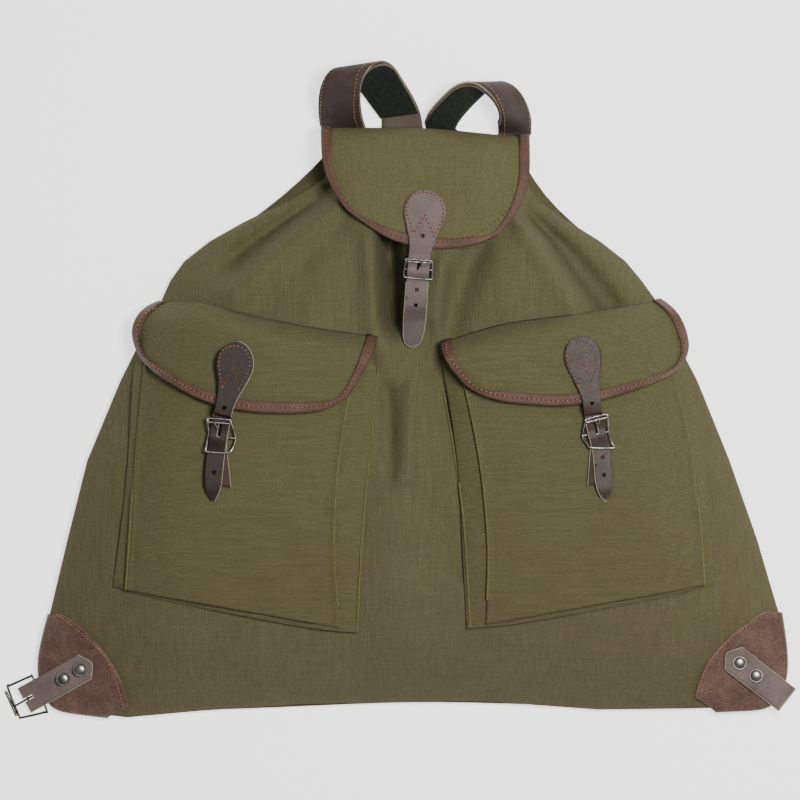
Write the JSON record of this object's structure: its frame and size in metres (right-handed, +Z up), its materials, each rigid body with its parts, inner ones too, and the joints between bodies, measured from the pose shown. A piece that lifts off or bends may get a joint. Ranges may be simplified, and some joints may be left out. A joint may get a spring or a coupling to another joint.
{
  "type": "canvas backpack",
  "caption": "Soft canvas rucksack lying on its back: gathered mouth under a lid, flapped front pockets, buckled leather straps, corner patches and felt-lined shoulder straps.",
  "frame": {"origin": "bottom centre of the whole part's bounding box, on the surface that the bag lies on", "axes": "+X across the bag, +Y from the bottom seam to the mouth, +Z up through the bag's front; the bag lies on its back"},
  "size_m": [0.7168, 0.597, 0.092],
  "materials": {
    "canvas": "washed olive cotton canvas, matte",
    "binding": "thin red-brown edge binding, matte",
    "strap_leather": "dark brown waxed strap leather",
    "patch_leather": "grained brown leather, slightly glossy",
    "felt": "dark felt lining",
    "metal": "antique nickel, worn"
  },
  "bodies": {
    "bag": {"canvas_back": "canvas", "canvas_front": "canvas", "lid": "canvas", "lid_binding": "binding", "pocket_front_left": "canvas", "pocket_front_right": "canvas", "pocket_gusset_left": "canvas", "pocket_gusset_right": "canvas", "flap_left": "canvas", "flap_right": "canvas", "flap_binding_left": "binding", "flap_binding_right": "binding", "lid_strap": "strap_leather", "lid_counter_strap": "strap_leather", "lid_buckle": "metal", "lid_prong": "metal", "left_strap": "strap_leather", "left_counter_strap": "strap_leather", "left_buckle": "metal", "left_prong": "metal", "right_strap": "strap_leather", "right_counter_strap": "strap_leather", "right_buckle": "metal", "right_prong": "metal", "corner_patch_left": "patch_leather", "corner_patch_right": "patch_leather", "corner_tab_left": "strap_leather", "corner_tab_right": "strap_leather", "corner_buckle_hidden": "metal", "rivet_left_1": "metal", "rivet_left_2": "metal", "rivet_right_1": "metal", "rivet_right_2": "metal", "shoulder_strap_left": "strap_leather", "shoulder_strap_right": "strap_leather", "shoulder_felt_left": "felt", "shoulder_felt_right": "felt", "lower_strap_left": "strap_leather", "lower_strap_right": "strap_leather"},
    "corner_buckle": {"corner_buckle": "metal"},
    "corner_prong": {"corner_prong": "metal"}
  },
  "joints": [
    {"name": "corner_buckle_hinge", "type": "hinge", "parent": "bag", "child": "corner_buckle", "pos_m": [-0.33703, -0.28098, 0.0052], "axis": [-0.4902, 0.8716, 0], "range_deg": [0, 60]},
    {"name": "corner_prong_hinge", "type": "hinge", "parent": "corner_buckle", "child": "corner_prong", "pos_m": [-0.33703, -0.28098, 0.0052], "axis": [-0.4902, 0.8716, 0], "range_deg": [0, 45]}
  ]
}
